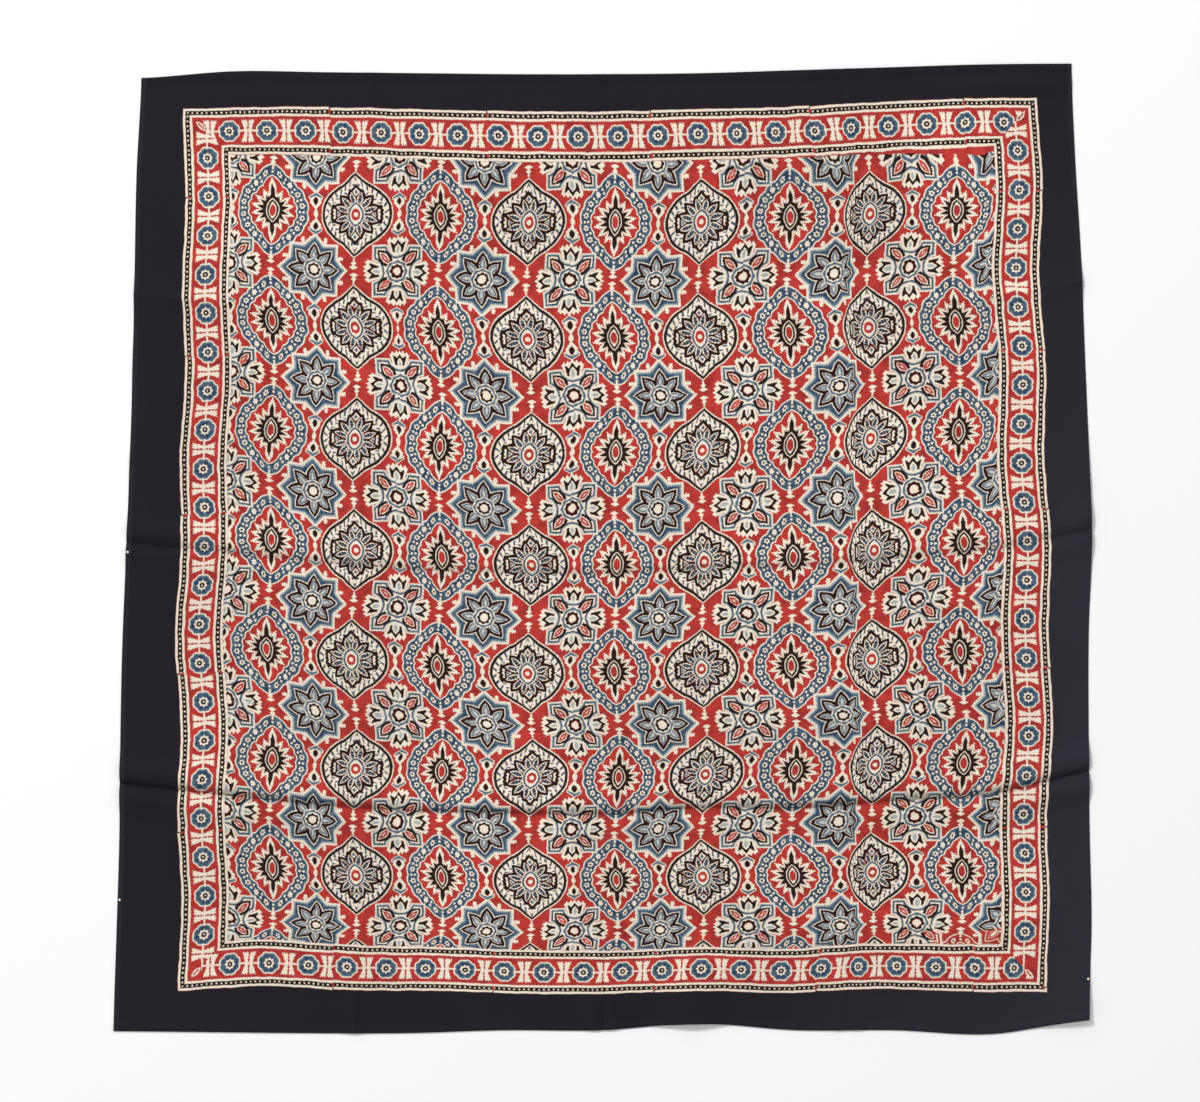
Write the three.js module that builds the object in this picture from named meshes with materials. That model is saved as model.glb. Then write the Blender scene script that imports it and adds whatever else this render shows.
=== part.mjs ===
// An ajrakh cloth: one square of fine block-printed cotton with a plain dark margin, lying spread out.
// It keeps the creases of having been folded in half twice each way, and its edges wander a little.
// Millimetres, +Z up, +Y towards the top edge of the print. The origin is the middle of its underside.
import * as THREE from "three";

// Driving dimensions
const nominalSide = 1000;
const clothThickness = 1.2;
const hemWidth = 6;
const hemTurnRise = 0.5;
const hemStep = 1.5; // the slope from the turned hem down to the single cloth
const edgeStrip = 22; // the strip inside each edge that keeps close lines of points
const middleSag = 36; // how far the middle of the cloth lies below a straight line between its sides
const wideStep = 40; // the widest space between two lines of points
const samePlace = 0.01; // two lengths closer than this are one place

// How far each edge lies outside the nominal square, at every tenth of its length.
// Top and bottom run from left to right, left and right from top to bottom.
const edgeOut = {
  top: [-11, -4, -5, -6, -7, -7, -6, -3, 0, 3, 4],
  bottom: [2, 3, 4, 4, 1, 1, -6, 1, 1, 5, -10],
  left: [-20, -15, -13, -11, -8, -4, 0, 2, 3, 6, 9],
  right: [-13, -9, -3, 1, 5, 8, 5, 5, 6, 8, 5],
};

// Creases across the cloth, from the top down: at is the share of the height, rise the height of the cloth
// beside it and reach how far it lifts to each side. The start, middle and end are how much of the rise shows
// along it, from the left.
const crossFolds = [
  { name: "upper", at: 0.228, form: "ridge", rise: 4.0, reach: 30, start: 1.0, middle: 0.7, end: 0.8 },
  { name: "half", at: 0.487, form: "trough", rise: 3.0, reach: 34, start: 1.0, middle: 0.6, end: 0.7 },
  { name: "lower", at: 0.740, form: "trough", rise: 4.5, reach: 38, start: 1.0, middle: 0.9, end: 1.0 },
];

// Creases down the cloth, from the left: they are older and flatter.
const downFolds = [
  { name: "left", at: 0.247, form: "ridge", rise: 1.6, reach: 22, start: 0.6, middle: 0.5, end: 1.0 },
  { name: "half", at: 0.502, form: "trough", rise: 1.4, reach: 22, start: 0.5, middle: 0.5, end: 1.0 },
  { name: "right", at: 0.753, form: "trough", rise: 1.2, reach: 22, start: 0.5, middle: 0.5, end: 0.8 },
];

// Soft swells near the edges: x and y of the middle, along and across the half lengths, turn the way it runs.
const swells = [
  { name: "bottom edge buckle", x: 92, y: -500, along: 85, across: 48, turn: 90, rise: 7.0 },
  { name: "lower right corner", x: 500, y: -490, along: 90, across: 55, turn: -45, rise: 6.0 },
  { name: "upper right pull", x: 420, y: 482, along: 95, across: 20, turn: 2, rise: 4.0 },
  { name: "left drag, high", x: -474, y: 160, along: 85, across: 17, turn: 106, rise: 3.0 },
  { name: "left drag, low", x: -478, y: 60, along: 75, across: 16, turn: 110, rise: 3.0 },
  { name: "right edge lift", x: 500, y: 40, along: 110, across: 30, turn: 92, rise: 3.5 },
];

// How far from a crease the sheet has its lines of points, with the crease itself between them
const lineOffsets = { cross: [0, 5, 13, 24, 36], down: [0, 9, 22] };
const edgeOffsets = [hemWidth, hemWidth + hemStep, edgeStrip];

// A smooth curve through values at even stations, read at a share of its length
function alongTable(values, share) {
  const curve = new THREE.SplineCurve(values.map((value, i) => new THREE.Vector2(i, value)));
  return curve.getPoint(share).y;
}

// A curve through three values at the start, the middle and the end
function threePoint(start, middle, end, share) {
  const half = new THREE.QuadraticBezierCurve(
    new THREE.Vector2(0, start),
    new THREE.Vector2(0.5, 2 * middle - (start + end) / 2),
    new THREE.Vector2(1, end),
  );
  return half.getPoint(share).y;
}

// The shares of the side at which the sheet has lines: close at the creases and hems, wide between them
function sheetLines(folds, offsets) {
  const lines = [0, nominalSide];
  edgeOffsets.forEach((offset) => lines.push(offset, nominalSide - offset));
  folds.forEach((fold) => {
    const place = fold.at * nominalSide;
    offsets.forEach((offset) => lines.push(place - offset, place + offset));
  });
  const close = [...new Set(lines)].sort((a, b) => a - b);
  const filled = [close[0]];
  for (let i = 1; i < close.length; i++) {
    const gap = close[i] - close[i - 1];
    const steps = Math.ceil(gap / wideStep);
    for (let k = 1; k <= steps; k++) filled.push(close[i - 1] + (gap * k) / steps);
  }
  return filled.map((line) => line / nominalSide);
}

// Where a point of the flat square lies in plan: shares across from the left edge and down from the top edge
function planPoint(across, down) {
  const half = nominalSide / 2;
  const left = -half - alongTable(edgeOut.left, down);
  const right = half + alongTable(edgeOut.right, down);
  const top = half + alongTable(edgeOut.top, across);
  const bottom = -half - alongTable(edgeOut.bottom, across);
  const sag = middleSag * (1 - (2 * across - 1) ** 2) * (1 - (2 * down - 1) ** 4);
  const x = THREE.MathUtils.lerp(left, right, across);
  const y = THREE.MathUtils.lerp(top, bottom, down) - sag;
  return new THREE.Vector2(x, y);
}

// The lift beside a crease at a distance from it: a ridge peaks on the crease, and a trough stands up on
// both sides of it
function foldLift(fold, distance, share) {
  const t = Math.abs(distance) / fold.reach;
  if (t >= 1) return 0;
  const shown = fold.rise * threePoint(fold.start, fold.middle, fold.end, share);
  const troughPeak = 27 / 4;
  return fold.form === "ridge" ? shown * (1 - t) ** 2 : shown * troughPeak * t * (1 - t) ** 2;
}

// The lift of a soft swell at a point in plan
function swellLift(swell, point) {
  const turn = THREE.MathUtils.degToRad(swell.turn);
  const local = point.clone().sub(new THREE.Vector2(swell.x, swell.y));
  local.rotateAround(new THREE.Vector2(), -turn);
  const t = Math.hypot(local.x / swell.along, local.y / swell.across);
  return t >= 1 ? 0 : swell.rise * Math.cos((t * Math.PI) / 2) ** 2;
}

// The height of the cloth's underside over the table
function undersideHeight(across, down, point) {
  let height = 0;
  crossFolds.forEach((fold) => (height += foldLift(fold, (down - fold.at) * nominalSide, across)));
  downFolds.forEach((fold) => (height += foldLift(fold, (across - fold.at) * nominalSide, down)));
  swells.forEach((swell) => (height += swellLift(swell, point)));
  return height;
}

// The thickness of the cloth, which is turned over in a narrow hem at the top and bottom edges
function thicknessAt(down) {
  const fromEdge = Math.min(down, 1 - down) * nominalSide;
  return clothThickness + (fromEdge <= hemWidth + samePlace ? hemTurnRise : 0);
}

// One closed sheet: the points of a flat box, moved to where the cloth lies
function clothGeometry() {
  const acrossLines = sheetLines(downFolds, lineOffsets.down);
  const downLines = sheetLines(crossFolds, lineOffsets.cross);
  const acrossSteps = acrossLines.length - 1;
  const downSteps = downLines.length - 1;
  const geometry = new THREE.BoxGeometry(1, 1, 1, acrossSteps, downSteps, 1);
  const points = geometry.getAttribute("position");
  for (let i = 0; i < points.count; i++) {
    const across = acrossLines[Math.round((points.getX(i) + 0.5) * acrossSteps)];
    const down = downLines[Math.round((0.5 - points.getY(i)) * downSteps)];
    const onFace = points.getZ(i) > 0;
    const point = planPoint(across, down);
    const height = undersideHeight(across, down, point) + (onFace ? thicknessAt(down) : 0);
    points.setXYZ(i, point.x, point.y, height);
  }
  geometry.computeBoundingBox();
  const middle = geometry.boundingBox.getCenter(new THREE.Vector3());
  geometry.translate(-middle.x, -middle.y, 0);
  geometry.computeVertexNormals();
  return geometry;
}

const printedCotton = new THREE.MeshStandardMaterial({ color: 0xa93d36, roughness: 0.85, metalness: 0 });
const cloth = new THREE.Mesh(clothGeometry(), printedCotton);
cloth.name = "cloth";

const ajrakhCloth = new THREE.Group();
ajrakhCloth.add(cloth);

export default ajrakhCloth;
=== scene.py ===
# Ajrakh cloth: a square of fine cotton, block-printed in madder red, indigo and black, with a dark margin.
# It lies spread out and keeps the creases of its storage folds. The tables below are in millimetres.
import ast
import math
import operator

import bpy
import numpy as np
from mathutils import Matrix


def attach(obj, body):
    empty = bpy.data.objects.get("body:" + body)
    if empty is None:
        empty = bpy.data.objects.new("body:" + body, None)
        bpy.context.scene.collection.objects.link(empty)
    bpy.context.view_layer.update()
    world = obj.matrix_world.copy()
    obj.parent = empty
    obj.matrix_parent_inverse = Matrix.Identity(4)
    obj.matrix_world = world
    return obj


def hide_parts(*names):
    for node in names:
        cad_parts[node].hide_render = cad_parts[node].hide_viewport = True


mm = 0.001

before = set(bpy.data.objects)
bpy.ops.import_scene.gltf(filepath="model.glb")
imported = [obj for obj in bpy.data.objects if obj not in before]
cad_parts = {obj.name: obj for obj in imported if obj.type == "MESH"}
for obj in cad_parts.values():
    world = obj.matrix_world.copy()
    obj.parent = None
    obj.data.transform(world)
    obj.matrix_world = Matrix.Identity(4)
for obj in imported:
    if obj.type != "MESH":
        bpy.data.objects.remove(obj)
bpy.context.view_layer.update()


# Camera

photoView = {
    "widthPx": 1200,
    "heightPx": 1102,
    "mmPerPx": 1.04,
    "clothMiddlePx": (602.5, 549.0),
    "lens": 85,
    "sensorWidth": 36,
}


def addCamera():
    middleX = (photoView["widthPx"] / 2 - photoView["clothMiddlePx"][0]) * photoView["mmPerPx"] * mm
    middleY = (photoView["clothMiddlePx"][1] - photoView["heightPx"] / 2) * photoView["mmPerPx"] * mm
    shownWidth = photoView["widthPx"] * photoView["mmPerPx"] * mm
    height = shownWidth * photoView["lens"] / photoView["sensorWidth"]
    bpy.ops.object.camera_add(location=(middleX, middleY, height), rotation=(0, 0, 0))
    camera = bpy.context.object
    camera.data.lens = photoView["lens"]
    camera.data.sensor_width = photoView["sensorWidth"]
    bpy.context.scene.camera = camera


addCamera()
print("camera placed")


# Cloth sheet

clothSheet = {
    "side": 1000,
    "thickness": 0.6,
    "hemThickness": 1.1,
    "hemWidth": 6,
    "hemStep": 1,  # the slope from the hem down to the single cloth
    "middleSag": 36,
    "lineStep": 5.3,
    # outward from the square at every tenth of a side: top and bottom from the left, sides from the top
    "edgeOut": {
        "top": [-11, -4, -5, -6, -7, -7, -6, -3, 0, 3, 4],
        "bottom": [2, 3, 4, 4, 1, 1, -6, 1, 1, 5, -10],
        "left": [-20, -15, -13, -11, -8, -4, 0, 2, 3, 6, 9],
        "right": [-13, -9, -3, 1, 5, 8, 5, 5, 6, 8, 5],
    },
    # creases: share of the side, form, rise beside it, reach, and how much shows at start, middle and end
    "crossFolds": [
        (0.228, "ridge", 4.0, 30, 1.0, 0.7, 0.8),
        (0.487, "trough", 3.0, 34, 1.0, 0.6, 0.7),
        (0.740, "trough", 4.5, 38, 1.0, 0.9, 1.0),
    ],
    "downFolds": [
        (0.247, "ridge", 1.6, 22, 0.6, 0.5, 1.0),
        (0.502, "trough", 1.4, 22, 0.5, 0.5, 1.0),
        (0.753, "trough", 1.2, 22, 0.5, 0.5, 0.8),
    ],
    "creaseLines": [0, 1.2, 3],
    "smoothAngle": 40,
    "samePlace": 0.01,  # two lengths closer than this are one place
    # soft swells near the edges: x, y, half length, half width, turn in degrees, rise
    "swells": [
        (92, -500, 85, 48, 90, 7.0),
        (500, -490, 90, 55, -45, 6.0),
        (420, 482, 95, 20, 2, 4.0),
        (-474, 160, 85, 17, 106, 3.0),
        (-478, 60, 75, 16, 110, 3.0),
        (500, 40, 110, 30, 92, 3.5),
    ],
}

# The printed oblong on the cloth, drawn out of square by hand and by wear
printFrame = {
    "width": 900,
    "height": 920,
    "middleSag": 23.5,
    "sagFrom": 0.07,
    "edgeOut": {
        "top": [-3.5, -1.5, -1.5, -3.5, -5.5, -5.5, -3.5, -1.5, 4, 7.5, 8],
        "bottom": [-0.5, -5.5, -0.5, 0.5, 3, 3, -0.5, 2, -1.5, 1, 0.5],
        "left": [-13.5, -16, -12.5, -15, -9.5, -11.5, -5.5, -10.5, -7.5, -11.5, -7.5],
        "right": [1, 7, 3.5, 11, 9.5, 15.5, 13, 18.5, 12, 14.5, 11],
    },
    # how the field has crept on the cloth: place across it, how far on the print is there and how far it
    # has dropped. The fold down the right hides a tuck of it.
    "creep": [
        (-402, 0, 0),
        (-392, 1.5, 2),
        (-358, 1.5, 4),
        (-312, 1, 3),
        (-271, 4, 2),
        (-225, 3, 2),
        (-177, 4.5, 3),
        (-88, 1, 2),
        (3, 1, 2),
        (95, 0.5, 1),
        (187, -3, 3),
        (244, -8, 3),
        (255, 3.5, 3.5),
        (308, 3.5, 5),
        (362, 1, 8),
        (393, 1, 7),
        (405, 0, 0),
    ],
    "lean": 0.0013,
    "widen": -0.000012,
    "twist": 0.000018,
    # the creep fades over the border, and the lean and the drop fade at the edge of the field
    "bandHalfTall": 450,
    "bandFade": 50,
    "bandLeast": 0.3,
    "fieldHalfTall": 411,
    "fieldFadeDown": 20,
    "fieldHalfWide": 402,
    "fieldFadeAcross": 12,
    "closingRounds": 14,
    # how far a face lies inside the field, or outside the field and the margin line, to need no other motif
    "fieldClear": 9,
    "lineClear": 4,
}


# A smooth curve through values at even stations, read at shares of its length
def alongTable(values, share):
    values = np.asarray(values, float)
    last = len(values) - 1
    place = np.clip(share, 0, 1) * last
    k = np.minimum(place.astype(int), last - 1)
    w = place - k
    before, here = values[np.maximum(k - 1, 0)], values[k]
    there, after = values[k + 1], values[np.minimum(k + 2, last)]
    slopeHere = (there - before) / 2
    slopeThere = (after - here) / 2
    cubic = 2 * here - 2 * there + slopeHere + slopeThere
    square = 3 * there - 3 * here - 2 * slopeHere - slopeThere
    return ((cubic * w + square) * w + slopeHere) * w + here


def lerp(low, high, share):
    return low + (high - low) * share


# Four edges of an oblong at shares across and down, moved out by a piece's table
def edgesOf(edgeOut, width, height, across, down):
    left = -width / 2 - alongTable(edgeOut["left"], down)
    right = width / 2 + alongTable(edgeOut["right"], down)
    top = height / 2 + alongTable(edgeOut["top"], across)
    bottom = -height / 2 - alongTable(edgeOut["bottom"], across)
    return left, right, top, bottom


# Where shares of the flat square lie in plan
def planPlace(across, down):
    side = clothSheet["side"]
    left, right, top, bottom = edgesOf(clothSheet["edgeOut"], side, side, across, down)
    sag = clothSheet["middleSag"] * (1 - (2 * across - 1) ** 2) * (1 - (2 * down - 1) ** 4)
    return lerp(left, right, across), lerp(top, bottom, down) - sag


# Where a place in plan lies on the straight print, found by a few rounds of closing in
def printPlace(x, y):
    width, height = printFrame["width"], printFrame["height"]
    across = x / width + 0.5
    down = 0.5 - y / height
    for closing in range(printFrame["closingRounds"]):
        left, right, top, bottom = edgesOf(printFrame["edgeOut"], width, height, across, down)
        inAcross = np.clip((across - printFrame["sagFrom"]) / (1 - 2 * printFrame["sagFrom"]), 0, 1)
        sag = printFrame["middleSag"] * np.sin(math.pi * inAcross) * np.sin(math.pi * np.clip(down, 0, 1))
        across = (x - left) / (right - left)
        down = (y + sag - top) / (bottom - top)
    u, v = (across - 0.5) * width, (0.5 - down) * height
    places, shifts, drops = zip(*printFrame["creep"])
    inBand = (printFrame["bandHalfTall"] - np.abs(v)) / printFrame["bandFade"]
    inBand = np.clip(inBand, printFrame["bandLeast"], 1)
    inTall = np.clip((printFrame["fieldHalfTall"] - np.abs(v)) / printFrame["fieldFadeDown"], 0, 1)
    inWide = np.clip((printFrame["fieldHalfWide"] - np.abs(u)) / printFrame["fieldFadeAcross"], 0, 1)
    inField = inTall * inWide
    leaning = (printFrame["lean"] + printFrame["widen"] * u) * v
    shift = np.interp(u, places, shifts) * inBand + leaning * inField
    drop = (np.interp(u, places, drops) + printFrame["twist"] * u * v) * inField
    return u + shift, v + drop


def foldLift(fold, distance, share):
    at, form, rise, reach, start, middle, end = fold
    t = np.minimum(np.abs(distance) / reach, 1)
    between = 2 * middle - (start + end) / 2
    shown = rise * ((1 - share) ** 2 * start + 2 * share * (1 - share) * between + share**2 * end)
    if form == "ridge":
        return shown * (1 - t) ** 2
    troughPeak = 27 / 4
    return shown * troughPeak * t * (1 - t) ** 2


def swellLift(swell, x, y):
    atX, atY, along, across, turn, rise = swell
    c, s = math.cos(math.radians(turn)), math.sin(math.radians(turn))
    dx, dy = x - atX, y - atY
    t = np.minimum(np.hypot((c * dx + s * dy) / along, (c * dy - s * dx) / across), 1)
    return rise * np.cos(t * math.pi / 2) ** 2


def undersideHeight(across, down, x, y):
    side = clothSheet["side"]
    height = np.zeros_like(across)
    for fold in clothSheet["crossFolds"]:
        height += foldLift(fold, (down - fold[0]) * side, across)
    for fold in clothSheet["downFolds"]:
        height += foldLift(fold, (across - fold[0]) * side, down)
    for swell in clothSheet["swells"]:
        height += swellLift(swell, x, y)
    return height


# The shares of the side with a line of points: close at the creases and hems, even between them
def sheetLines(folds):
    side, hem = clothSheet["side"], clothSheet["hemWidth"]
    hemEnd = hem + clothSheet["hemStep"]
    close = {0, side, hem, side - hem, hemEnd, side - hemEnd}
    for fold in folds:
        for offset in clothSheet["creaseLines"]:
            close.update((fold[0] * side - offset, fold[0] * side + offset))
    close = sorted(close)
    lines = [0]
    for start, end in zip(close, close[1:]):
        steps = math.ceil((end - start) / clothSheet["lineStep"])
        lines.extend(start + (end - start) * (k + 1) / steps for k in range(steps))
    return np.array(lines) / side


# The point at each corner of each face, face by face
def cornerPoints(mesh):
    corners = np.zeros(len(mesh.loops), np.int32)
    mesh.loops.foreach_get("vertex_index", corners)
    return corners


# The finishes in the order that the sheet has them, with four kinds of field between border and meeting
finishOrder = {"margin": 0, "border": 1, "firstField": 2, "meeting": 6}


# Which finish each face takes: plain margin, border, one of four kinds of field, or where field and border
# meet. A face needs only the motifs that reach it, which keeps the finish quick to draw.
def sortFaces(mesh, printU, printV):
    corners = cornerPoints(mesh).reshape(-1, 4)
    fromSide = printFrame["width"] / 2 - np.abs(printU)
    fromTop = printFrame["height"] / 2 - np.abs(printV)
    depth = np.minimum(fromSide, fromTop)[corners]
    low, high = depth.min(axis=1), depth.max(axis=1)
    repeat = fieldRepeat["sizes"]
    column = (printU[corners].mean(axis=1) - repeat["firstAcross"]) / repeat["halfAcross"]
    odd = np.floor((column + 1) / 2).astype(int) % 2
    star = np.isin(np.floor(column).astype(int) % 4, (0, 1))
    bandWidth = border["sizes"]["bandHalf"] * 2
    kind = finishOrder["firstField"] + 2 * odd + star
    kind = np.where(low > bandWidth + printFrame["fieldClear"], kind, finishOrder["meeting"])
    kind = np.where(high < bandWidth - printFrame["lineClear"], finishOrder["border"], kind)
    kind = np.where(high < -printFrame["lineClear"], finishOrder["margin"], kind)
    mesh.polygons.foreach_set("material_index", kind.astype(np.int32))


def fillMap(mesh, name, places):
    layer = mesh.uv_layers.new(name=name)
    layer.data.foreach_set("uv", places[cornerPoints(mesh)].astype(np.float32).ravel())


# The map the finish is baked to: the face has most of it, and the underside and the rim a corner
def fillBakeMap(mesh, across, down):
    layer = mesh.uv_layers.new(name="OFBake")
    corners = cornerPoints(mesh)
    normals = np.zeros(len(mesh.polygons) * 3, np.float32)
    mesh.polygons.foreach_get("normal", normals)
    totals = np.zeros(len(mesh.polygons), np.int32)
    mesh.polygons.foreach_get("loop_total", totals)
    up = np.repeat(normals.reshape(-1, 3)[:, 2], totals)
    a, d = across[corners], 1 - down[corners]
    faceSide, backSide, gap, facingUp = 0.79, 0.19, 0.005, 0.3
    onFace = up > facingUp
    u = np.where(onFace, gap + a * faceSide, 1 - gap - backSide + a * backSide)
    v = np.where(onFace, gap + d * faceSide, 1 - gap - backSide + d * backSide)
    layer.data.foreach_set("uv", np.column_stack((u, v)).astype(np.float32).ravel())


def addCloth(finishes):
    acrossLines = sheetLines(clothSheet["downFolds"])
    downLines = sheetLines(clothSheet["crossFolds"])
    acrossSteps, downSteps = len(acrossLines) - 1, len(downLines) - 1
    bpy.ops.object.select_all(action="DESELECT")
    bpy.ops.mesh.primitive_grid_add(x_subdivisions=acrossSteps, y_subdivisions=downSteps, size=1)
    cloth = bpy.context.object
    cloth.name = "ajrakhCloth"
    mesh = cloth.data
    points = np.zeros(len(mesh.vertices) * 3, np.float64)
    mesh.vertices.foreach_get("co", points)
    points = points.reshape(-1, 3)
    across = acrossLines[np.rint((points[:, 0] + 0.5) * acrossSteps).astype(int)]
    down = downLines[np.rint((0.5 - points[:, 1]) * downSteps).astype(int)]
    x, y = planPlace(across, down)
    height = undersideHeight(across, down, x, y)
    printU, printV = printPlace(x, y)
    middleX, middleY = (x.min() + x.max()) / 2, (y.min() + y.max()) / 2
    placed = np.column_stack((x - middleX, y - middleY, height)) * mm
    mesh.vertices.foreach_set("co", placed.ravel())
    while mesh.uv_layers:
        mesh.uv_layers.remove(mesh.uv_layers[0])
    for finish in finishes:
        mesh.materials.append(finish)
    sortFaces(mesh, printU, printV)
    fillMap(mesh, "printPlace", np.column_stack((printU, printV)) * mm)
    fillMap(mesh, "clothPlace", np.column_stack((across, down)) * clothSheet["side"] * mm)

    # the hem is the full thickness, the single cloth a share of it
    fromEdge = np.minimum(down, 1 - down) * clothSheet["side"]
    hem = cloth.vertex_groups.new(name="hem")
    inHem = np.flatnonzero(fromEdge <= clothSheet["hemWidth"] + clothSheet["samePlace"])
    hem.add([int(i) for i in inHem], 1.0, "REPLACE")
    solidify = cloth.modifiers.new("thickness", "SOLIDIFY")
    solidify.thickness = clothSheet["hemThickness"] * mm
    solidify.offset = 1
    solidify.vertex_group = "hem"
    solidify.thickness_vertex_group = clothSheet["thickness"] / clothSheet["hemThickness"]
    bpy.ops.object.modifier_apply(modifier="thickness")
    copies = len(mesh.vertices) // len(across)
    fillBakeMap(mesh, np.tile(across, copies), np.tile(down, copies))
    bpy.ops.object.shade_smooth_by_angle(angle=math.radians(clothSheet["smoothAngle"]))
    return cloth


# Finish: block-printed plain-weave cotton. The eye sees madder red with deeper patches, cloudy indigo, warm
# black and undyed cream, all a little blurred into the threads, and a blue-black margin. It is matt.

cottonFinish = {
    "red": "#ba3a34",
    "redDeep": "#902c28",
    "cream": "#ecdecb",
    "blue": "#263d56",
    "worn": "#566b7c",
    "pale": "#a8b0af",
    "black": "#251311",
    "margin": "#1c1b22",
    # the lighter margin colour serves both the painted sheen towards the lower right and the faded
    # selvedges
    "marginSheenAndFade": "#2a2a33",
    "softEdge": 0.75,  # how far an ink fades at its edge
    "threadPitch": 1.9,  # drawn coarser than the real 0.4, which would be too fine to show
    "patchFrom": 0.38,  # the strength of noise at which an ink starts to change to its worn or deep colour
    "patchTo": 0.74,
    "noiseRoughness": 0.6,
    "roughness": 0.9,
    "specular": 0.15,
    "sheen": 0.02,
    "bumpStrength": 0.3,
    "bumpDepth": 0.0004,
}


def linear(hexColour):
    parts = [int(hexColour[i:i + 2], 16) / 255 for i in (1, 3, 5)]
    return tuple(p / 12.92 if p <= 0.04045 else ((p + 0.055) / 1.055) ** 2.4 for p in parts) + (1.0,)


def addNode(tree, kind, inputs=(), **settings):
    node = tree.nodes.new(kind)
    for name, value in settings.items():
        setattr(node, name, value)
    for place, value in inputs.items() if isinstance(inputs, dict) else enumerate(inputs):
        if isinstance(value, bpy.types.NodeSocket):
            tree.links.new(value, node.inputs[place])
        else:
            node.inputs[place].default_value = value
    return node


formulaSigns = {
    ast.Add: ("ADD", operator.add),
    ast.Sub: ("SUBTRACT", operator.sub),
    ast.Mult: ("MULTIPLY", operator.mul),
    ast.Div: ("DIVIDE", operator.truediv),
    ast.Pow: ("POWER", operator.pow),
}
formulaWords = {
    "abs": "ABSOLUTE",
    "sin": "SINE",
    "cos": "COSINE",
    "floor": "FLOOR",
    "sqrt": "SQRT",
    "sign": "SIGN",
    "min": "MINIMUM",
    "max": "MAXIMUM",
    "less": "LESS_THAN",
    "more": "GREATER_THAN",
    "atan2": "ARCTAN2",
    "wrap": "WRAP",
    "zigzag": "PINGPONG",
}


# Turns a parsed formula into math nodes. ink(d) is how well a shape is printed at a distance d outside it.
def drawFormula(tree, part, known):
    if isinstance(part, ast.Constant):
        return float(part.value)
    if isinstance(part, ast.Name):
        return known[part.id]
    if isinstance(part, ast.UnaryOp):
        part = ast.BinOp(ast.Constant(-1.0), ast.Mult(), part.operand)
    if isinstance(part, ast.BinOp):
        operation, onNumbers = formulaSigns[type(part.op)]
        values = [drawFormula(tree, side, known) for side in (part.left, part.right)]
        if not any(isinstance(value, bpy.types.NodeSocket) for value in values):
            return onNumbers(*values)
        return addNode(tree, "ShaderNodeMath", values, operation=operation).outputs[0]
    word = part.func.id
    values = [drawFormula(tree, side, known) for side in part.args]
    if word == "ink":
        values += [-1 / cottonFinish["softEdge"], known["spread"]]
        return addNode(tree, "ShaderNodeMath", values, operation="MULTIPLY_ADD", use_clamp=True).outputs[0]
    if word == "hypot":
        square = addNode(tree, "ShaderNodeMath", [values[0], values[0]], operation="MULTIPLY").outputs[0]
        values = [values[1], values[1], square]
        both = addNode(tree, "ShaderNodeMath", values, operation="MULTIPLY_ADD").outputs[0]
        return addNode(tree, "ShaderNodeMath", [both], operation="SQRT").outputs[0]
    drawn = values[:2]
    for extra in values[2:]:
        if word in ("min", "max"):
            drawn = [addNode(tree, "ShaderNodeMath", drawn, operation=formulaWords[word]).outputs[0], extra]
        else:
            drawn.append(extra)
    return addNode(tree, "ShaderNodeMath", drawn, operation=formulaWords[word]).outputs[0]


# Works out a recipe's lines in order, each under its own name
def drawRecipe(tree, recipe, known):
    for line in ast.parse(recipe.strip()).body:
        known[line.targets[0].id] = drawFormula(tree, line.value, known)


# Prints one motif over what is there already: its sizes, its recipe, then its coats in order. A coat is an
# ink and the shape that it fills, and a number added to a shape starts the ink that far inside its edge.
def printMotif(tree, canvas, motif, known, inks):
    local = {**known, **motif["sizes"]}
    drawRecipe(tree, motif["recipe"], local)
    for inkName, shape in motif["coats"]:
        cover = drawFormula(tree, ast.parse(f"ink({shape})").body[0].value, local)
        mix = addNode(tree, "ShaderNodeMix", {0: cover, 6: canvas, 7: inks[inkName]}, data_type="RGBA")
        canvas = mix.outputs[2]
    return canvas


# Folds the field into one quarter of a repeat. Rings stand at even columns, cream medallions at odd ones,
# with stars and rosettes on the rows between. away sends a motif that isn't the one here out of reach.
fieldRepeat = {
    "sizes": {
        "firstAcross": 3.0,
        "firstDown": 12.0,
        "halfAcross": 44.75,
        "halfDown": 57.0,
        "columnDip": 1.25,
        "columnTurn": 0.0351,
        "away": 500.0,
        "diagonal": 0.7071,
    },
    "recipe": """
fieldU = u - firstAcross + blockU
fieldV = v - firstDown + blockV + columnDip * (sin(fieldU * columnTurn) - cos(fieldU * columnTurn))
x = wrap(fieldU, halfAcross, -halfAcross)
p = abs(x)
q = abs(wrap(fieldV, halfDown, -halfDown))
middle = hypot(p, q)
turn = atan2(p, q)
cornerX = halfAcross - p
cornerY = halfDown - q
cornerFar = max(cornerX, cornerY)
cornerNear = min(cornerX, cornerY)
cornerReach = hypot(cornerX, cornerY)
cornerTurn = atan2(cornerX, cornerY)
""",
    "whichMotif": """
column = floor((fieldU + halfAcross) / (2 * halfAcross))
odd = column - 2 * floor(column / 2)
starHere = more(sign(x) * (1 - 2 * odd), 0)
""",
}

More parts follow.
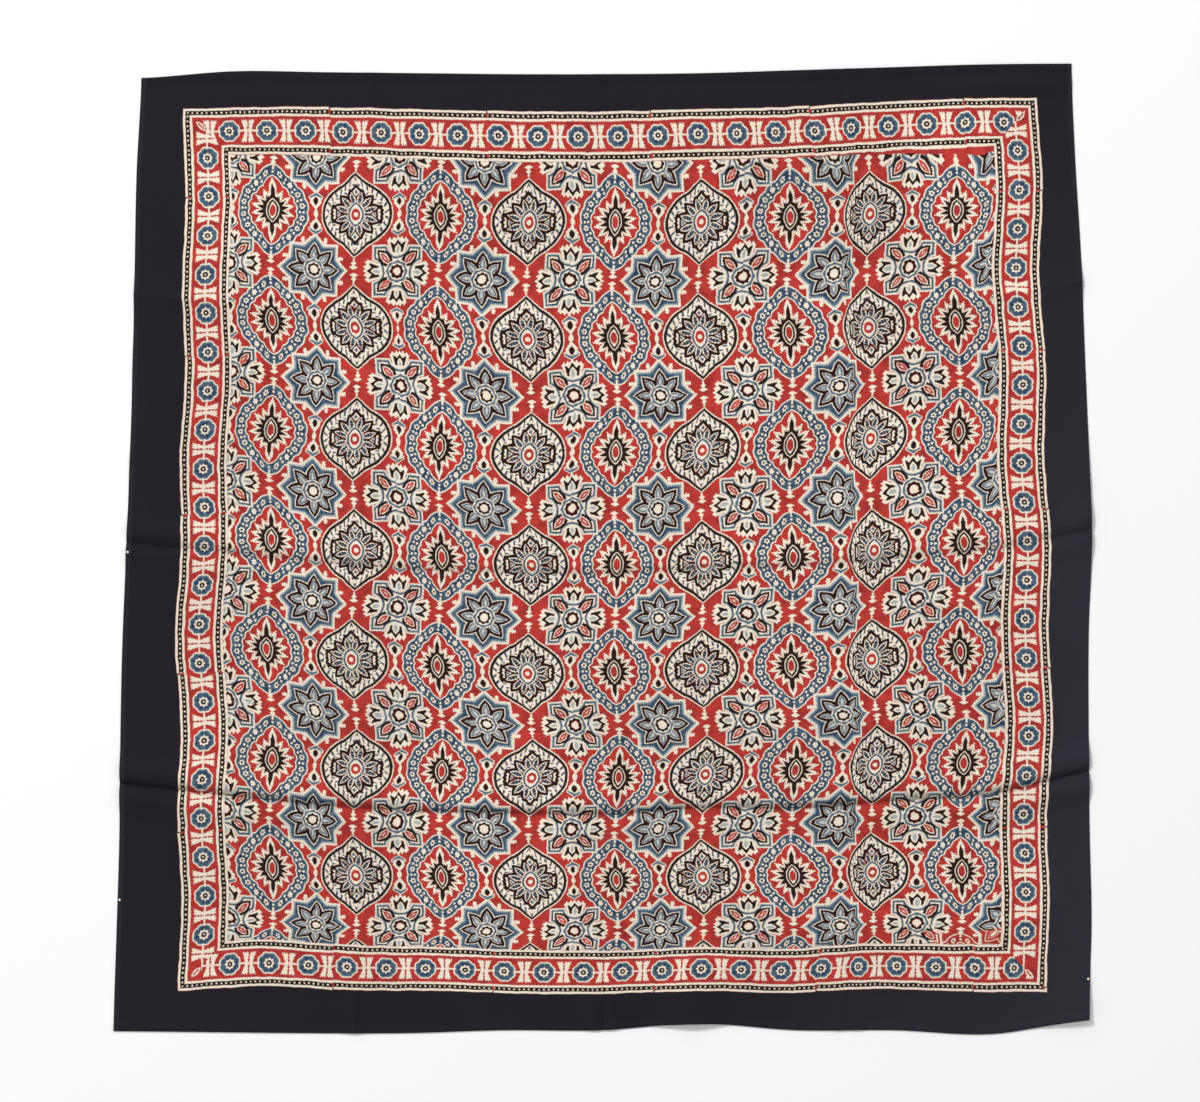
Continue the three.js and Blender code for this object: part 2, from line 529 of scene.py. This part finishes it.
ringMedallion = {
    "sizes": {
        "rimRadius": 35.8,
        "rimWiden": 0.8,
        "lobeRise": 1.6,
        "tipReach": 12.0,
        "tipTurn": 0.95,
        "rimLine": 1.3,
        "bandWidth": 13.0,
        "bandMiddle": 6.7,
        "lobeTurn": 0.19635,
        "flowerRadius": 2.6,
        "dotRadius": 1.25,
        "dotGap": 1.9,
        "rayTurn": 0.2244,
        "rayReach": 17.0,
        "axisRayReach": 10.8,
        "lensOffset": 8.3,
        "lensRadius": 15.1,
        "tipCurve": 2.4,
        "petalRise": 0.5,
        "smallEye": 0.1,
        "axisHalf": 5.0,
        "flameHalf": 2.4,
        "flameTip": 4.8,
        "flameRag": 0.7,
        "ragPitch": 1.3,
        "rayHalf": 2.3,
        "rayTaper": 0.36,
        "pupilHalfWide": 3.1,
        "pupilHalfTall": 6.0,
        "pupilSlope": 4.2,
    },
    "recipe": """
reach = middle + away * odd
tip = tipReach * max(0, 1 - turn / tipTurn) ** tipCurve
edge = reach - rimRadius - rimWiden * sin(turn) ** 4 - lobeRise * abs(sin(8 * turn)) - tip
well = edge + bandWidth
band = edge + bandMiddle
lobe = zigzag(turn, lobeTurn)
flowerSide = (lobeTurn - lobe) * reach
flower = hypot(flowerSide, band)
petals = flowerRadius + petalRise * cos(6 * atan2(flowerSide, band))
eye = smallEye + more(cos(4 * turn + 1), -0.4)
dots = hypot(lobe * reach, abs(band) - dotGap) - dotRadius
raySide = zigzag(turn, rayTurn) * reach
onAxis = less(p, axisHalf)
rayTip = rayReach + axisRayReach * onAxis - reach
flame = raySide - min(flameHalf + onAxis, 0.5 * (rayTip + flameTip)) - flameRag * zigzag(reach, ragPitch)
ray = raySide - min(rayHalf, rayTaper * rayTip)
lens = hypot(p + lensOffset, q) - lensRadius + away * odd
pupil = (hypot(p / pupilHalfWide, q / pupilHalfTall) - 1) * pupilSlope + away * odd
""",
    "coats": [
        ("cream", "edge"),
        ("worn", "edge + rimLine"),
        ("blue", "max(edge + rimLine + 1.2, -1.2 - well)"),
        ("cream", "min(flower - petals, dots)"),
        ("black", "flower - eye"),
        ("cream", "well - 1.3"),
        ("red", "well"),
        ("cream", "flame"),
        ("black", "min(ray, lens - 3)"),
        ("cream", "lens"),
        ("black", "lens + 0.9"),
        ("cream", "lens + 2.9"),
        ("red", "pupil"),
    ],
}

creamMedallion = {
    "sizes": {
        "rimRadius": 34.4,
        "rimWiden": 4.2,
        "tipReach": 9.0,
        "tipTurn": 0.5,
        "dashDepth": 6.4,
        "dashTurn": 0.1047,
        "leafTurn": 0.2531,
        "leafStart": 7.0,
        "leafLength": 16.6,
        "lensOffset": 4.4,
        "lensRadius": 12.8,
        "tipCurve": 1.8,
        "dashStray": 5.0,
        "dashLean": 0.6,
        "dashHalfWide": 1.1,
        "dashHalfLong": 2.2,
        "fleckLean": 0.5,
        "fleckShift": 2.0,
        "fleckDepth": 4.6,
        "fleckHalfWide": 0.9,
        "fleckHalfLong": 1.5,
        "leafWidth": 14.6,
        "lastLeaf": 1.518,
        "speckPitch": 1.5,
        "speckSide": 0.9,
        "speckRadius": 0.95,
        "diamondAt": 22.6,
        "diamondHalf": 3.7,
        "fanStart": 15.0,
        "fanSlope": 0.64,
        "fanReach": 25.3,
        "fanWave": 0.5,
        "pupilHalfWide": 4.9,
        "pupilHalfTall": 6.0,
        "pupilSlope": 5.4,
    },
    "recipe": """
hidden = away * (1 - odd)
reach = middle + hidden
tip = tipReach * max(0, 1 - turn / tipTurn) ** tipCurve
edge = reach - rimRadius - rimWiden * sin(turn) ** 4 - tip
dashRow = edge + dashDepth + dashStray * (cloud - 0.5)
dashSide = wrap(turn, dashTurn, -dashTurn) * reach
dash = max(abs(dashSide + dashLean * dashRow) - dashHalfWide, abs(dashRow) - dashHalfLong)
fleckSide = wrap(turn + dashTurn, dashTurn, -dashTurn) * reach
fleckWide = abs(fleckSide - fleckLean * dashRow - fleckShift) - fleckHalfWide
fleck = max(fleckWide, abs(dashRow + fleckDepth) - fleckHalfLong)
leafSide = abs(wrap(turn - leafTurn, leafTurn, -leafTurn)) * reach + away * more(turn, lastLeaf)
leafAlong = (reach - leafStart) / leafLength
leaf = leafSide - leafWidth * leafAlong * (1 - leafAlong)
specks = hypot(zigzag(reach, speckPitch), leafSide - speckSide) - speckRadius
diamond = 0.8 * p + 0.72 * abs(q - diamondAt) - diamondHalf + hidden
fan = max((q - fanSlope * (p - fanStart)) * 0.84, reach - fanReach - fanWave * cos(1.6 * q))
lens = hypot(p + lensOffset, q) - lensRadius + hidden
pupil = (hypot(p / pupilHalfWide, q / pupilHalfTall) - 1) * pupilSlope + hidden
""",
    "coats": [
        ("cream", "edge"),
        ("black", "edge + 1.2"),
        ("cream", "edge + 4.2"),
        ("blue", "min(dash, fleck)"),
        ("black", "min(leaf - 3.2, diamond - 2.6, fan - 2.8, reach - 18.6)"),
        ("red", "min(leaf, diamond, fan) + 0.7"),
        ("cream", "min(leaf, diamond, fan) + 0.5 + slip"),
        ("worn", "min(leaf + 1.9, diamond + 2, max(fan + 1.3, reach - 20.3))"),
        ("black", "min(max(fan + 0.2, abs(reach - 21.7) - 1), max(specks, leaf + 1.4))"),
        ("cream", "lens - 0.8"),
        ("blue", "lens"),
        ("cream", "lens + 1.9"),
        ("red", "pupil"),
        ("cream", "reach - 2.4"),
    ],
}

eightPointStar = {
    "sizes": {
        "squareHalf": 26.3,
        "turnedHalf": 37.8,
        "petalStart": 8.5,
        "petalLength": 18.2,
        "petalWidth": 17.8,
        "petalTurn": 0.3927,
        "petalSlope": 0.8,
        "waveRise": 0.5,
        "barbFar": 29.2,
        "barbNear": 12.0,
        "barbHalf": 2.6,
        "barbSquash": 0.62,
        "barbRag": 0.9,
        "barbRagStart": 0.6,
        "barbRagPitch": 1.3,
        "combPitch": 0.95,
    },
    "recipe": """
hidden = away * (1 - starHere)
far = cornerFar + hidden
reach = cornerReach + hidden
squareEdge = far - squareHalf
turnedEdge = (far + cornerNear - turnedHalf) * diagonal
edge = min(squareEdge, turnedEdge)
comb = cornerNear + more(squareEdge, turnedEdge) * ((far - cornerNear) * diagonal - cornerNear)
petalAlong = (reach - petalStart) / petalLength
petalHalf = petalWidth * sqrt(max(petalAlong, 0)) * (1 - petalAlong)
petal = (abs(wrap(cornerTurn, petalTurn, -petalTurn)) * reach - petalHalf) * petalSlope
wave = waveRise * cos(8 * cornerTurn)
barbEdge = hypot(barbSquash * (far - barbFar), cornerNear - barbNear) - barbHalf
barb = barbEdge + barbRag * zigzag(far - barbRagStart, barbRagPitch)
""",
    "coats": [
        ("cream", "min(edge, barb)"),
        ("pale", "edge + 1.1 + 2.2 * zigzag(comb, combPitch)"),
        ("worn", "edge + 2.4 + 1.8 * zigzag(comb, combPitch)"),
        ("blue", "edge + 4 + 1.4 * zigzag(comb, combPitch)"),
        ("cream", "min(petal - 1.2, reach - 18.2)"),
        ("black", "min(petal - 0.2, reach - 17.4)"),
        ("red", "petal + 2.7"),
        ("cream", "petal + 2.5 + slip"),
        ("worn", "petal + 3"),
        ("pale", "petal + 4.2"),
        ("cream", "petal + 5.2"),
        ("cream", "reach - 11.2"),
        ("worn", "reach - 10.2 - wave"),
        ("cream", "reach - 8"),
        ("black", "reach - 6.6 - wave"),
        ("cream", "reach - 4.1"),
    ],
}

rosette = {
    "sizes": {
        "bodyHalf": 25.5,
        "biteAt": 28.0,
        "biteRadius": 11.8,
        "leafTip": 29.6,
        "leafBase": 6.8,
        "leafWidth": 0.048,
        "heartTip": 27.2,
        "heartBase": 10.5,
        "heartWidth": 0.052,
        "leafSlope": 0.8,
        "leafRag": 0.6,
        "leafRagPitch": 1.1,
        "palmetteReach": 36.0,
        "palmetteRound": 0.25,
        "palmetteRag": 1.3,
        "palmettePitch": 2.2,
        "palmetteHalf": 8.6,
        "palmetteFlare": 0.35,
        "palmetteMiddle": 22.0,
        "palmetteStart": 17.0,
        "crownReach": 32.5,
        "crownRound": 0.36,
        "crownRag": 1.1,
        "crownPitch": 3.7,
        "crownHalf": 5.6,
        "crownFlare": 0.27,
        "crownStart": 19.5,
        "budHalf": 3.5,
        "budCurve": 0.1,
        "budAt": 22.0,
        "waveRise": 0.5,
    },
    "recipe": """
far = cornerFar + away * starHere
near = cornerNear
reach = cornerReach + away * starHere
body = max(far - bodyHalf, biteRadius - hypot(far - biteAt, near))
along = (far + near) * diagonal
apart = (far - near) * diagonal
leafHalf = leafWidth * (leafTip - along) * (along - leafBase)
leaf = (apart - leafHalf - leafRag * zigzag(along, leafRagPitch)) * leafSlope
heart = (apart - heartWidth * (heartTip - along) * (along - heartBase)) * leafSlope
palmetteTop = far - palmetteReach + palmetteRound * near + palmetteRag * zigzag(near, palmettePitch)
palmetteSide = (near - palmetteHalf - palmetteFlare * (far - palmetteMiddle)) * 0.94
palmette = max(palmetteTop, palmetteSide, palmetteStart - far)
crownTop = far - crownReach + crownRound * near + crownRag * zigzag(near, crownPitch)
crownSide = (near - crownHalf - crownFlare * (far - crownStart)) * 0.95
crown = max(crownTop, crownSide, crownStart - far)
bud = near - budHalf + budCurve * (far - budAt) * (far - budAt)
wave = waveRise * cos(8 * cornerTurn)
""",
    "coats": [
        ("cream", "min(body - 1, palmette)"),
        ("pale", "body + 0.2"),
        ("blue", "body + 1.2"),
        ("cream", "body + 2.9"),
        ("black", "crown"),
        ("cream", "bud"),
        ("pale", "bud + 1.6"),
        ("black", "leaf"),
        ("red", "heart + 0.2"),
        ("cream", "heart + slip"),
        ("red", "heart + 0.9"),
        ("cream", "heart + 2.5"),
        ("cream", "reach - 12.2"),
        ("worn", "reach - 11.2 - wave"),
        ("cream", "reach - 8.7"),
        ("black", "reach - 7.4 - wave"),
        ("red", "reach - 4.5"),
        ("cream", "reach - 4"),
    ],
}

# The buds between two medallions, and the small fleur between two rows of them
fillers = {
    "sizes": {
        "dotRadius": 2.3,
        "stemHalf": 0.5,
        "stemRag": 0.8,
        "stemRagPitch": 2.0,
        "stemReach": 7.5,
        "budHalf": 5.4,
        "budRag": 0.8,
        "budRagPitch": 1.5,
        "budCurve": 0.13,
        "budAt": 12.2,
        "budSlope": 0.8,
        "dropHalf": 2.7,
        "dropCurve": 0.14,
        "dropAt": 12.6,
        "capAt": 19.3,
        "capLean": 0.5,
        "capHalf": 2.6,
        "capTaper": 0.14,
        "capReach": 7.6,
        "fleurMiddle": 7.6,
        "fleurHalf": 5.4,
        "fleurStem": 0.7,
        "fleurFoot": 13.5,
        "fleurSpread": 0.2,
        "fleurStart": 2.2,
        "fleurPitch": 2.1,
    },
    "recipe": """
dot = hypot(cornerX, q) - dotRadius
stem = max(cornerX - stemHalf - stemRag * zigzag(q, stemRagPitch), q - stemReach)
budEdge = cornerX - budHalf - budRag * zigzag(q, budRagPitch)
bud = (budEdge + budCurve * (q - budAt) * (q - budAt)) * budSlope
drop = (cornerX - dropHalf + dropCurve * (q - dropAt) * (q - dropAt)) * budSlope
cap = max(abs(q - capAt + capLean * cornerX) - capHalf + capTaper * cornerX, cornerX - capReach)
fleurSide = p - fleurStem - (fleurFoot - cornerY) * fleurSpread * zigzag(cornerY - fleurStart, fleurPitch)
fleur = max(fleurSide, abs(cornerY - fleurMiddle) - fleurHalf)
""",
    "coats": [
        ("cream", "min(dot, stem, bud, fleur)"),
        ("black", "drop"),
        ("cream", "cap"),
        ("worn", "cap + 0.9"),
    ],
}

# The band round the field: dotted black lines between cream ones, with rosettes on a stem and sprigs
# between. The rosettes of the top and bottom rows lag behind their places, and the left ones stand wider.
border = {
    "sizes": {
        "halfWide": 450.0,
        "halfTall": 460.0,
        "bandMiddle": 24.5,
        "bandHalf": 24.5,
        "lineMiddle": 19.6,
        "dotPitch": 2.5,
        "rosetteHalf": 20.1,
        "leftScale": 0.99,
        "leftStart": -2.7,
        "rightScale": 0.01,
        "rightStart": -1.3,
        "topStart": 7.5,
        "topSlope": 0.044,
        "topMost": 12.0,
        "bottomStart": 10.4,
        "bottomSlope": 0.0125,
        "bottomMost": 13.5,
        "jointStart": 131.0,
        "jointHalf": 82.0,
        "jogMost": 0.5,
        "sideCorner": 36.0,
        "rowCorner": 23.5,
        "sprigReach": 12.0,
        "sprigNotch": 1.4,
        "sprigNotchStart": 2.2,
        "sprigNotchPitch": 1.1,
        "sprigApart": 2.0,
        "sprigHalf": 0.9,
        "sprigFlare": 0.17,
        "sprigRag": 0.4,
        "sprigRagPitch": 1.7,
        "dotRadius": 0.9,
        "budAt": 25.8,
        "budHalfLong": 6.5,
        "budHalfWide": 2.7,
        "budCurve": 0.06,
        "slitHalfLong": 4.0,
        "slitHalfWide": 0.8,
        "fieldTop": 411.0,
        "wedgeStart": 150.0,
        "wedgeSlope": 0.019,
    },
    "recipe": """
fromSide = halfWide - abs(u)
fromTop = halfTall - abs(v)
onSide = less(fromSide, fromTop)
depth = min(fromSide, fromTop)
onRight = more(u, 0)
topLag = max(0, min(topMost, topStart + topSlope * u))
lag = topLag + less(v, 0) * (min(bottomMost, bottomStart + bottomSlope * u) - topLag)
sideAlong = v * (leftScale + rightScale * onRight) + leftStart + rightStart * onRight
along = u - lag + onSide * (sideAlong - u + lag)
jog = jogMost * sin(2.3 * floor((along + jointStart) / (2 * jointHalf)) + 1.7 * onSide)
across = depth - bandMiddle + jog
joint = abs(wrap(along + jointStart, jointHalf, -jointHalf))
h = abs(across)
cell = wrap(along, rosetteHalf, -rosetteHalf)
between = rosetteHalf - abs(cell)
sprigEnd = h - sprigReach + sprigNotch * zigzag(between - sprigNotchStart, sprigNotchPitch)
sprigSide = abs(between - sprigApart - sprigFlare * h) - sprigHalf - sprigFlare * h
sprig = max(sprigSide - sprigRag * zigzag(h, sprigRagPitch), sprigEnd)
inCorner = onSide * less(fromTop, sideCorner) + (1 - onSide) * less(fromSide, rowCorner)
reach = hypot(cell, h) + away * inCorner
turn = atan2(cell, h)
lobes = abs(sin(4 * turn))
dotted = hypot(zigzag(along, dotPitch), h - lineMiddle) - dotRadius
slope = (fromSide + fromTop) * diagonal
apart = (fromSide - fromTop) * diagonal
budEnd = abs(slope - budAt) - budHalfLong
bud = max(budEnd, abs(apart) - budHalfWide + budCurve * (slope - budAt) * (slope - budAt))
slit = max(abs(slope - budAt) - slitHalfLong, abs(apart) - slitHalfWide)
""",
    "coats": [
        ("red", "fieldTop - wedgeSlope * max(0, u - wedgeStart) - v"),
        ("red", "h - bandHalf"),
        ("cream", "min(h - 0.9, sprig)"),
        ("cream", "reach - 10.8 - 1.1 * lobes"),
        ("worn", "reach - 9.4 - 1.1 * lobes"),
        ("blue", "reach - 7.6 - 1.2 * lobes"),
        ("cream", "reach - 5.8 + 1.4 * lobes"),
        ("black", "reach - 2.9"),
        ("cream", "reach - 0.9"),
        ("cream", "bud"),
        ("red", "slit"),
        ("cream", "abs(h - lineMiddle) - 4.8"),
        ("black", "abs(h - lineMiddle) - 2.3"),
        ("cream", "dotted"),
        ("red", "max(joint - 1.1, abs(h - lineMiddle) - 2.6)"),
        ("margin", "min(depth + jog, max(joint - 0.7, depth - 2.2))"),
    ],
}


# Light and dark of the cloth: threads, broad cloudiness, painted shade along the two lower creases, and a
# small grey smudge left of the middle
clothTone = {
    "sizes": {
        "threadDepth": 0.42,
        "cloudDepth": 0.22,
        # the next six sizes place bands of painted shade along the lower crease and the half crease
        "lowerCrease": 738.0,
        "lowerHalf": 4.4,
        "lowerRub": 0.38,
        "halfCrease": 485.0,
        "halfHalf": 5.0,
        "halfRub": 0.22,
        "smudgeAcross": 306.0,
        "smudgeDown": 658.0,
        "smudgeHalfWide": 6.0,
        "smudgeHalfTall": 9.0,
        "smudgeDepth": 0.5,
    },
    "recipe": """
across = clothU * 1000
down = clothV * 1000
threads = 1 + (weave - 0.5) * threadDepth
clouds = 1 + (shade - 0.5) * cloudDepth
nearLower = (down - lowerCrease) / lowerHalf
nearHalf = (down - halfCrease) / halfHalf
rubbed = 1 - lowerRub / (1 + nearLower ** 4) - halfRub / (1 + nearHalf ** 4)
fromSmudge = hypot((across - smudgeAcross) / smudgeHalfWide, (down - smudgeDown) / smudgeHalfTall)
smudge = 1 - smudgeDepth * max(0, 1 - fromSmudge)
tone = threads * clouds * rubbed * smudge * blockTone
""",
}

# The margin is painted lighter towards the lower right as painted sheen, it has faded along the selvedges,
# and a few white threads show in it
marginWearAndSheen = {
    "sizes": {
        # the next two sizes set where the painted sheen on the margin starts and how far it grows
        "fadeStart": 620.0,
        "fadeWidth": 380.0,
        "clothHalf": 500.0,
        "selvedgeFrom": 495.0,
        "selvedgeFade": 0.5,
        "tuftRadius": 1.2,
    },
    "recipe": """
across = clothU * 1000
down = clothV * 1000
towardsRight = max(0, min(1, (across - fadeStart) / fadeWidth)) * min(1, clothV * 2)
faded = max(towardsRight, selvedgeFade * more(abs(across - clothHalf), selvedgeFrom))
leftTuft = min(hypot(across - 2, down - 497), hypot(across - 2, down - 862))
otherTuft = min(hypot(across - 998, down - 957), hypot(across - 205, down - 30))
tuft = less(min(leftTuft, otherTuft), tuftRadius)
""",
}

# How the blocks print: lines waver, inks spread and slip, and each block lands a little off and a little
# light or dark. In the lower right corner of the field black and blue were never printed.
blockPrint = {
    "sizes": {
        "waver": 2.4,
        "spreadRange": 1.4,
        "slipFrom": 0.52,
        "slipRange": 5.0,
        "blockWide": 179.0,
        "blockTall": 114.0,
        "blockLeft": 42.0,
        "blockLow": 45.0,
        "blockStray": 2.0,
        "blockDark": 0.95,
        "blockToneRange": 0.1,
        "bareAcross": 366.0,
        "bareHalfWide": 35.0,
        "bareDown": 402.0,
        "bareHalfTall": 9.0,
    },
    "lines": """
u = mapU * 1000 + (waverU - 0.5) * waver
v = mapV * 1000 + (waverV - 0.5) * waver
spread = 0.5 + (spread - 0.5) * spreadRange
slip = max(0, cloud - slipFrom) * slipRange
blockAcross = floor((u + blockLeft) / blockWide)
blockDown = floor((v + blockLow) / blockTall)
""",
    "blocks": """
blockU = (blockR - 0.5) * blockStray
blockV = (blockG - 0.5) * blockStray
blockTone = blockDark + blockToneRange * blockB
bare = less(abs(u - bareAcross), bareHalfWide) * less(abs(v + bareDown), bareHalfTall)
""",
    "bareInks": {"black": "red", "blue": "red", "worn": "red", "pale": "cream"},
}


def addNoise(tree, printMap, clothMap):
    noise = {}
    for key, place, scale, detail in (
        ("waverU", printMap, 43, 2),
        ("waverV", printMap, 37, 2),
        ("spread", printMap, 420, 1),
        ("cloud", printMap, 130, 3),
        ("mottle", printMap, 60, 5),
        ("weave", clothMap, 1000 / cottonFinish["threadPitch"], 2),
        ("shade", clothMap, 6, 2),
    ):
        settings = {
            "Vector": place,
            "Scale": scale,
            "Detail": detail,
            "Roughness": cottonFinish["noiseRoughness"],
        }
        noise[key] = addNode(tree, "ShaderNodeTexNoise", settings, noise_dimensions="2D").outputs["Fac"]
    return noise


# Cream and black are even, and blue and red have patches of their worn and deep colours
def addInks(tree, noise):
    inks = {ink: linear(cottonFinish[ink]) for ink in ("cream", "pale", "worn", "black")}
    fromTo = [cottonFinish["patchFrom"], cottonFinish["patchTo"], 0.0, 1.0]
    for inkName, key, other in (("blue", "cloud", "worn"), ("red", "mottle", "redDeep")):
        share = addNode(tree, "ShaderNodeMapRange", [noise[key], *fromTo]).outputs[0]
        colours = {0: share, 6: linear(cottonFinish[inkName]), 7: linear(cottonFinish[other])}
        inks[inkName] = addNode(tree, "ShaderNodeMix", colours, data_type="RGBA").outputs[2]
    return inks


# Where a place lies on the print and on its block, and the inks as they are there
def addBlocks(tree, printMap, noise, inks):
    place = addNode(tree, "ShaderNodeSeparateXYZ", [printMap])
    known = {**fieldRepeat["sizes"], **blockPrint["sizes"], **noise}
    known.update({"mapU": place.outputs[0], "mapV": place.outputs[1]})
    drawRecipe(tree, blockPrint["lines"], known)
    blockPlace = addNode(tree, "ShaderNodeCombineXYZ", [known["blockAcross"], known["blockDown"]])
    block = addNode(tree, "ShaderNodeTexWhiteNoise", [blockPlace.outputs[0]], noise_dimensions="2D")
    blockParts = addNode(tree, "ShaderNodeSeparateColor", [block.outputs["Color"]])
    known.update(zip(("blockR", "blockG", "blockB"), blockParts.outputs))
    drawRecipe(tree, blockPrint["blocks"], known)
    for inkName, instead in blockPrint["bareInks"].items():
        colours = {0: known["bare"], 6: inks[inkName], 7: inks[instead]}
        inks[inkName] = addNode(tree, "ShaderNodeMix", colours, data_type="RGBA").outputs[2]
    return known


def addCottonFinish(name, motifs, fixed):
    material = bpy.data.materials.new(name)
    material.use_nodes = True
    tree = material.node_tree
    tree.nodes.clear()
    printMap = addNode(tree, "ShaderNodeUVMap", uv_map="printPlace").outputs[0]
    clothMap = addNode(tree, "ShaderNodeUVMap", uv_map="clothPlace").outputs[0]
    noise = addNoise(tree, printMap, clothMap)
    inks = addInks(tree, noise)
    clothParts = addNode(tree, "ShaderNodeSeparateXYZ", [clothMap])
    # worn gathers the cloth tone, the margin's painted sheen and wear, and the painted shade along the
    # creases
    worn = {**noise, **marginWearAndSheen["sizes"], **clothTone["sizes"], "blockTone": 1.0}
    worn.update({"clothU": clothParts.outputs[0], "clothV": clothParts.outputs[1]})
    drawRecipe(tree, marginWearAndSheen["recipe"], worn)
    # the margin turns lighter with painted sheen towards the lower right and with fading at the selvedges
    colours = {0: worn["faded"], 6: linear(cottonFinish["margin"]), 7: linear(cottonFinish["marginSheenAndFade"])}
    inks["margin"] = addNode(tree, "ShaderNodeMix", colours, data_type="RGBA").outputs[2]
    colours = {0: worn["tuft"], 6: inks["margin"], 7: inks["cream"]}
    canvas = addNode(tree, "ShaderNodeMix", colours, data_type="RGBA").outputs[2]
    if motifs:
        known = addBlocks(tree, printMap, noise, inks)
        worn["blockTone"] = known["blockTone"]
        if motifs != [border]:
            drawRecipe(tree, fieldRepeat["recipe"], known)
            if not fixed:
                drawRecipe(tree, fieldRepeat["whichMotif"], known)
        known.update(fixed)
        canvas = inks["red"]
        for motif in motifs:
            canvas = printMotif(tree, canvas, motif, known, inks)

    drawRecipe(tree, clothTone["recipe"], worn)
    colours = {0: 1.0, 6: canvas, 7: worn["tone"]}
    toned = addNode(tree, "ShaderNodeMix", colours, data_type="RGBA", blend_type="MULTIPLY")
    settings = {
        "Strength": cottonFinish["bumpStrength"],
        "Distance": cottonFinish["bumpDepth"],
        "Height": noise["weave"],
    }
    bump = addNode(tree, "ShaderNodeBump", settings)
    settings = {
        "Base Color": toned.outputs[2],
        "Roughness": cottonFinish["roughness"],
        "Specular IOR Level": cottonFinish["specular"],
        "Sheen Weight": cottonFinish["sheen"],
        "Normal": bump.outputs[0],
    }
    surface = addNode(tree, "ShaderNodeBsdfPrincipled", settings)
    addNode(tree, "ShaderNodeOutputMaterial", {0: surface.outputs[0]})
    print(name, "has", len(tree.nodes), "nodes")
    return material


cottonName = "block-printed plain-weave cotton"
finishes = [
    addCottonFinish("vat-dyed plain-weave cotton", [], {}),
    addCottonFinish(f"{cottonName}, border", [border], {}),
]
medallions = ((0.0, ringMedallion, "ring"), (1.0, creamMedallion, "cream medallion"))
flowers = ((0.0, rosette, "rosette"), (1.0, eightPointStar, "star"))
for odd, medallion, medallionName in medallions:
    for starHere, flower, flowerName in flowers:
        name = f"{cottonName}, {medallionName} and {flowerName}"
        fixed = {"odd": odd, "starHere": starHere}
        finishes.append(addCottonFinish(name, [medallion, flower, fillers], fixed))
allMotifs = [ringMedallion, creamMedallion, eightPointStar, rosette, fillers, border]
finishes.append(addCottonFinish(f"{cottonName}, field and border", allMotifs, {}))

cloth = addCloth(finishes)
print("cloth laid,", len(cloth.data.polygons), "faces")
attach(cloth, "root")
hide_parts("cloth")
print("cloth finished and declared")


# Table and light

studio = {
    "floorSide": 16,
    "floorDrop": 0.3,
    "floorColour": "#fbfbfb",
    "floorRoughness": 0.95,
    "worldColour": "#ffffff",
    "worldStrength": 0.58,
    "keyPlace": (-3.6, 4.7, 5.3),
    "keySize": 1.7,
    "keyPower": 415,
}


def addStudio():
    scene = bpy.context.scene
    scene.view_settings.view_transform = "Standard"
    bpy.ops.mesh.primitive_plane_add(size=studio["floorSide"], location=(0, 0, -studio["floorDrop"] * mm))
    floor = bpy.context.object
    floor.name = "floor"
    paper = bpy.data.materials.new("matt white paper")
    paper.use_nodes = True
    surface = paper.node_tree.nodes["Principled BSDF"]
    surface.inputs["Base Color"].default_value = linear(studio["floorColour"])
    surface.inputs["Roughness"].default_value = studio["floorRoughness"]
    floor.data.materials.append(paper)
    world = bpy.data.worlds.new("studio")
    world.use_nodes = True
    background = world.node_tree.nodes["Background"]
    background.inputs[0].default_value = linear(studio["worldColour"])
    background.inputs[1].default_value = studio["worldStrength"]
    scene.world = world
    bpy.ops.object.light_add(type="AREA", location=studio["keyPlace"])
    key = bpy.context.object
    key.data.size = studio["keySize"]
    key.data.energy = studio["keyPower"]
    x, y, z = studio["keyPlace"]
    key.rotation_euler = (math.atan2(math.hypot(x, y), z), 0, math.atan2(x, -y))


addStudio()
print("studio set")
